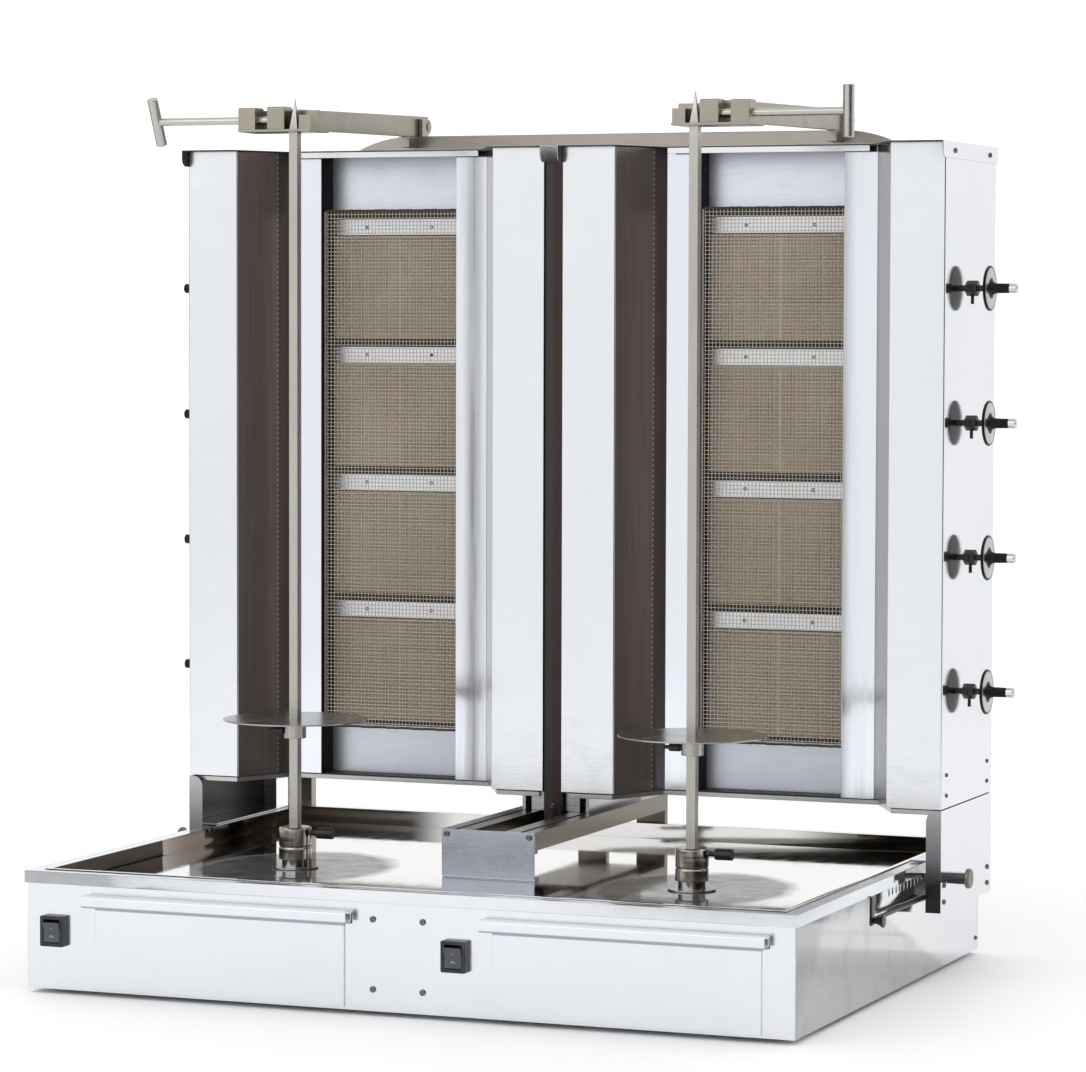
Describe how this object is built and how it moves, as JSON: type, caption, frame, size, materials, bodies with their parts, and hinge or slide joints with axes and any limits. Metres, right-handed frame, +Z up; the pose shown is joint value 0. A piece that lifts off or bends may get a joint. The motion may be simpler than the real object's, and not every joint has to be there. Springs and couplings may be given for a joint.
{
  "type": "vertical rotisserie broiler",
  "caption": "Twin vertical gas broiler with sliding burner towers, a motor driven spit in front of each, and a drip tray base with drawers.",
  "frame": {"origin": "centre of the object's footprint on the bench, which is also the centre of the base", "axes": "+X to the cook's right, -Y towards the cook, +Z up"},
  "size_m": [1.1726, 0.805, 1.119],
  "materials": {
    "casing_steel": "bright brushed stainless sheet",
    "reflector_steel": "polished stainless reflector",
    "frame_steel": "satin stainless",
    "tray_steel": "mirror polished stainless",
    "dark_steel": "heat tinted dark steel",
    "satin_steel": "warm satin stainless",
    "spit_steel": "ground square bar",
    "socket_steel": "turned and polished",
    "disc_steel": "polished disc",
    "plunger_steel": "turned steel, slightly tinted",
    "screw_steel": "bright screw heads",
    "burner_steel": "pressed and enamelled steel",
    "burner_ceramic": "porous ceramic plaque",
    "guard_wire": "woven stainless wire",
    "gas_brass": "machined brass",
    "motor_paint": "black enamel",
    "foot_rubber": "moulded rubber",
    "switch_plastic": "black moulding",
    "rocker_plastic": "dark grey moulding",
    "knob_plastic": "black phenolic"
  },
  "bodies": {
    "base": {"base_housing": "casing_steel", "top_frame": "casing_steel", "drip_tray": "tray_steel", "centre_rails": "frame_steel", "centre_column": "dark_steel", "rear_upright": "satin_steel", "spit_motors": "motor_paint", "feet": "foot_rubber", "base_screws": "screw_steel", "switch_bezels": "switch_plastic"},
    "left_tower": {"left_side_casings": "casing_steel", "left_reflectors": "reflector_steel", "left_burner_frame": "casing_steel", "left_top_cap": "casing_steel", "left_bottom_plate": "frame_steel", "left_rear_cover": "casing_steel", "left_burner_bodies": "burner_steel", "left_burner_ceramics": "burner_ceramic", "left_mesh_guard": "guard_wire", "left_gas_train": "gas_brass", "left_side_bracket": "casing_steel", "left_tower_screws": "screw_steel"},
    "left_gas_knob_1": {"left_gas_knob_1": "knob_plastic"},
    "left_gas_knob_2": {"left_gas_knob_2": "knob_plastic"},
    "left_gas_knob_3": {"left_gas_knob_3": "knob_plastic"},
    "left_gas_knob_4": {"left_gas_knob_4": "knob_plastic"},
    "left_index_plunger": {"left_index_plunger": "plunger_steel"},
    "left_drawer": {"left_drawer": "casing_steel"},
    "left_rocker": {"left_rocker": "rocker_plastic"},
    "left_spindle": {"left_spit": "spit_steel", "left_spit_socket": "socket_steel"},
    "left_meat_disc": {"left_meat_disc": "disc_steel"},
    "left_arm": {"left_arm": "satin_steel"},
    "left_clamp_jaw": {"left_clamp_jaw": "satin_steel"},
    "left_t_handle": {"left_t_handle": "satin_steel"},
    "right_tower": {"right_side_casings": "casing_steel", "right_reflectors": "reflector_steel", "right_burner_frame": "casing_steel", "right_top_cap": "casing_steel", "right_bottom_plate": "frame_steel", "right_rear_cover": "casing_steel", "right_burner_bodies": "burner_steel", "right_burner_ceramics": "burner_ceramic", "right_mesh_guard": "guard_wire", "right_gas_train": "gas_brass", "right_side_bracket": "casing_steel", "right_tower_screws": "screw_steel"},
    "right_gas_knob_1": {"right_gas_knob_1": "knob_plastic"},
    "right_gas_knob_2": {"right_gas_knob_2": "knob_plastic"},
    "right_gas_knob_3": {"right_gas_knob_3": "knob_plastic"},
    "right_gas_knob_4": {"right_gas_knob_4": "knob_plastic"},
    "right_index_plunger": {"right_index_plunger": "plunger_steel"},
    "right_drawer": {"right_drawer": "casing_steel"},
    "right_rocker": {"right_rocker": "rocker_plastic"},
    "right_spindle": {"right_spit": "spit_steel", "right_spit_socket": "socket_steel"},
    "right_meat_disc": {"right_meat_disc": "disc_steel"},
    "right_arm": {"right_arm": "satin_steel"},
    "right_clamp_jaw": {"right_clamp_jaw": "satin_steel"},
    "right_t_handle": {"right_t_handle": "satin_steel"}
  },
  "joints": [
    {"name": "left_tower_slide", "type": "slide", "parent": "base", "child": "left_tower", "axis": [0, -1, 0], "range_m": [0, 0.165]},
    {"name": "left_gas_knob_1_turn", "type": "hinge", "parent": "left_tower", "child": "left_gas_knob_1", "pos_m": [-0.527, 0.224, 0.36], "axis": [-1, 0, 0], "range_deg": [0, 180]},
    {"name": "left_gas_knob_2_turn", "type": "hinge", "parent": "left_tower", "child": "left_gas_knob_2", "pos_m": [-0.527, 0.224, 0.532], "axis": [-1, 0, 0], "range_deg": [0, 180]},
    {"name": "left_gas_knob_3_turn", "type": "hinge", "parent": "left_tower", "child": "left_gas_knob_3", "pos_m": [-0.527, 0.224, 0.704], "axis": [-1, 0, 0], "range_deg": [0, 180]},
    {"name": "left_gas_knob_4_turn", "type": "hinge", "parent": "left_tower", "child": "left_gas_knob_4", "pos_m": [-0.527, 0.224, 0.876], "axis": [-1, 0, 0], "range_deg": [0, 180]},
    {"name": "left_index_plunger_pull", "type": "slide", "parent": "left_tower", "child": "left_index_plunger", "axis": [-1, 0, 0], "range_m": [0, 0.008]},
    {"name": "left_drawer_slide", "type": "slide", "parent": "base", "child": "left_drawer", "axis": [0, -1, 0], "range_m": [0, 0.2]},
    {"name": "left_rocker_press", "type": "hinge", "parent": "base", "child": "left_rocker", "pos_m": [-0.462, -0.3865, 0.079], "axis": [-1, 0, 0], "range_deg": [0, 16]},
    {"name": "left_spit_spin", "type": "hinge", "parent": "base", "child": "left_spindle", "pos_m": [-0.27, -0.0955, 0.152], "axis": [0, 0, 1], "continuous": true},
    {"name": "left_meat_disc_slide", "type": "slide", "parent": "left_spindle", "child": "left_meat_disc", "axis": [0, 0, 1], "range_m": [-0.11, 0.7]},
    {"name": "left_arm_tilt", "type": "hinge", "parent": "base", "child": "left_arm", "pos_m": [-0.306, 0.39, 1.1], "axis": [-1, 0, 0], "range_deg": [0, 80]},
    {"name": "left_clamp_jaw_slide", "type": "slide", "parent": "left_arm", "child": "left_clamp_jaw", "axis": [-1, 0, 0], "range_m": [0, 0.012]},
    {"name": "left_t_handle_turn", "type": "hinge", "parent": "left_clamp_jaw", "child": "left_t_handle", "pos_m": [-0.466, -0.0955, 1.087], "axis": [-1, 0, 0], "range_deg": [0, 1080]},
    {"name": "right_tower_slide", "type": "slide", "parent": "base", "child": "right_tower", "axis": [0, -1, 0], "range_m": [0, 0.165]},
    {"name": "right_gas_knob_1_turn", "type": "hinge", "parent": "right_tower", "child": "right_gas_knob_1", "pos_m": [0.527, 0.2385, 0.36], "axis": [1, 0, 0], "range_deg": [0, 180]},
    {"name": "right_gas_knob_2_turn", "type": "hinge", "parent": "right_tower", "child": "right_gas_knob_2", "pos_m": [0.527, 0.2385, 0.532], "axis": [1, 0, 0], "range_deg": [0, 180]},
    {"name": "right_gas_knob_3_turn", "type": "hinge", "parent": "right_tower", "child": "right_gas_knob_3", "pos_m": [0.527, 0.2385, 0.704], "axis": [1, 0, 0], "range_deg": [0, 180]},
    {"name": "right_gas_knob_4_turn", "type": "hinge", "parent": "right_tower", "child": "right_gas_knob_4", "pos_m": [0.527, 0.2385, 0.876], "axis": [1, 0, 0], "range_deg": [0, 180]},
    {"name": "right_index_plunger_pull", "type": "slide", "parent": "right_tower", "child": "right_index_plunger", "axis": [1, 0, 0], "range_m": [0, 0.008]},
    {"name": "right_drawer_slide", "type": "slide", "parent": "base", "child": "right_drawer", "axis": [0, -1, 0], "range_m": [0, 0.2]},
    {"name": "right_rocker_press", "type": "hinge", "parent": "base", "child": "right_rocker", "pos_m": [0.076, -0.3865, 0.079], "axis": [-1, 0, 0], "range_deg": [0, 16]},
    {"name": "right_spit_spin", "type": "hinge", "parent": "base", "child": "right_spindle", "pos_m": [0.27, -0.0955, 0.152], "axis": [0, 0, 1], "continuous": true},
    {"name": "right_meat_disc_slide", "type": "slide", "parent": "right_spindle", "child": "right_meat_disc", "axis": [0, 0, 1], "range_m": [-0.11, 0.7]},
    {"name": "right_arm_tilt", "type": "hinge", "parent": "base", "child": "right_arm", "pos_m": [0.306, 0.39, 1.1], "axis": [-1, 0, 0], "range_deg": [0, 80]},
    {"name": "right_clamp_jaw_slide", "type": "slide", "parent": "right_arm", "child": "right_clamp_jaw", "axis": [1, 0, 0], "range_m": [0, 0.012]},
    {"name": "right_t_handle_turn", "type": "hinge", "parent": "right_clamp_jaw", "child": "right_t_handle", "pos_m": [0.466, -0.0955, 1.087], "axis": [1, 0, 0], "range_deg": [0, 1080]}
  ],
  "couplings": [
    {"joint": "left_t_handle_turn", "follows": "left_clamp_jaw_slide", "rad_per_m": 1570.8},
    {"joint": "right_t_handle_turn", "follows": "right_clamp_jaw_slide", "rad_per_m": 1570.8}
  ]
}
